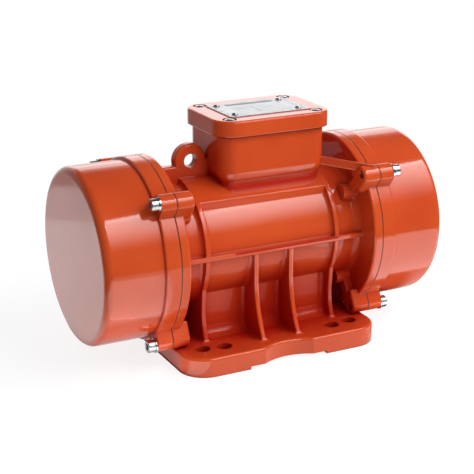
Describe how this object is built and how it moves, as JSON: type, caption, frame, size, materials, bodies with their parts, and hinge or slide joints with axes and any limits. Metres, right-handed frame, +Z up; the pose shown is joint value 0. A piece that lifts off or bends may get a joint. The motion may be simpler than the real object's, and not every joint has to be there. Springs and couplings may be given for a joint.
{
  "type": "vibration motor",
  "caption": "Foot-mounted electric unbalance vibration motor: ribbed cast body, drum-shaped weight covers, terminal box on top and adjustable eccentric weights on both shaft ends.",
  "frame": {"origin": "centre of the foot bolt pattern on the underside of the foot", "axes": "+X along the shaft towards the end nearer the terminal box, away from the lifting eye, -Y the side seen in the picture, +Z up from the foot to the terminal box"},
  "size_m": [0.304, 0.164, 0.1947],
  "materials": {
    "orange_paint": "gloss",
    "black_rubber": "matte",
    "zinc_steel": "satin",
    "plate_aluminium": "satin",
    "board_plastic": "satin",
    "terminal_brass": "satin",
    "gland_plastic": "satin",
    "core_steel": "satin",
    "winding_copper": "gloss",
    "cage_aluminium": "satin",
    "ground_steel": "satin",
    "bearing_steel": "polished",
    "cage_brass": "satin",
    "shield_iron": "matte",
    "black_screw_steel": "satin",
    "weight_steel": "satin"
  },
  "bodies": {
    "housing": {"motor_body": "orange_paint", "terminal_box_lid": "orange_paint", "left_weight_cover": "orange_paint", "right_weight_cover": "orange_paint", "lid_gasket": "black_rubber", "gland_seal": "black_rubber", "left_cover_seal": "black_rubber", "right_cover_seal": "black_rubber", "lid_screws": "zinc_steel", "left_cover_screws": "zinc_steel", "left_cover_washers": "zinc_steel", "right_cover_screws": "zinc_steel", "right_cover_washers": "zinc_steel", "rating_plate": "plate_aluminium", "plate_rivets": "plate_aluminium", "terminal_board": "board_plastic", "terminal_studs": "terminal_brass", "terminal_nuts": "terminal_brass", "earth_screw": "terminal_brass", "gland_body": "gland_plastic", "gland_cap_nut": "gland_plastic", "stator_core": "core_steel", "stator_winding": "winding_copper", "left_bearing_outer_ring": "bearing_steel", "right_bearing_outer_ring": "bearing_steel", "left_bearing_shield": "shield_iron", "left_bearing_cap": "shield_iron", "right_bearing_shield": "shield_iron", "right_bearing_cap": "shield_iron", "left_shield_screws": "black_screw_steel", "left_cap_screws": "black_screw_steel", "right_shield_screws": "black_screw_steel", "right_cap_screws": "black_screw_steel"},
    "rotor": {"shaft": "ground_steel", "rotor_core": "core_steel", "rotor_cage": "cage_aluminium", "left_bearing_inner_ring": "bearing_steel", "left_spacer_sleeve": "ground_steel", "left_fixed_weight": "weight_steel", "left_weight_key": "ground_steel", "left_retaining_ring": "ground_steel", "right_bearing_inner_ring": "bearing_steel", "right_spacer_sleeve": "ground_steel", "right_fixed_weight": "weight_steel", "right_weight_key": "ground_steel", "right_retaining_ring": "ground_steel"},
    "left_rollers": {"left_bearing_rollers": "bearing_steel", "left_roller_cage": "cage_brass"},
    "right_rollers": {"right_bearing_rollers": "bearing_steel", "right_roller_cage": "cage_brass"},
    "left_setting_weight": {"left_adjustable_weight": "weight_steel", "left_clamp_screw": "black_screw_steel"},
    "right_setting_weight": {"right_adjustable_weight": "weight_steel", "right_clamp_screw": "black_screw_steel"}
  },
  "joints": [
    {"name": "rotor_spin", "type": "hinge", "parent": "housing", "child": "rotor", "pos_m": [0, 0, 0.088], "axis": [1, 0, 0], "continuous": true},
    {"name": "left_rollers_orbit", "type": "hinge", "parent": "housing", "child": "left_rollers", "pos_m": [-0.0865, 0, 0.088], "axis": [1, 0, 0], "continuous": true},
    {"name": "left_weight_setting", "type": "hinge", "parent": "rotor", "child": "left_setting_weight", "pos_m": [-0.12887, 0, 0.088], "axis": [1, 0, 0], "range_deg": [0, 180]},
    {"name": "right_rollers_orbit", "type": "hinge", "parent": "housing", "child": "right_rollers", "pos_m": [0.0865, 0, 0.088], "axis": [1, 0, 0], "continuous": true},
    {"name": "right_weight_setting", "type": "hinge", "parent": "rotor", "child": "right_setting_weight", "pos_m": [0.12887, 0, 0.088], "axis": [1, 0, 0], "range_deg": [0, 180]}
  ],
  "couplings": [
    {"joint": "left_rollers_orbit", "follows": "rotor_spin", "ratio": 0.38636},
    {"joint": "right_rollers_orbit", "follows": "rotor_spin", "ratio": 0.38636}
  ]
}
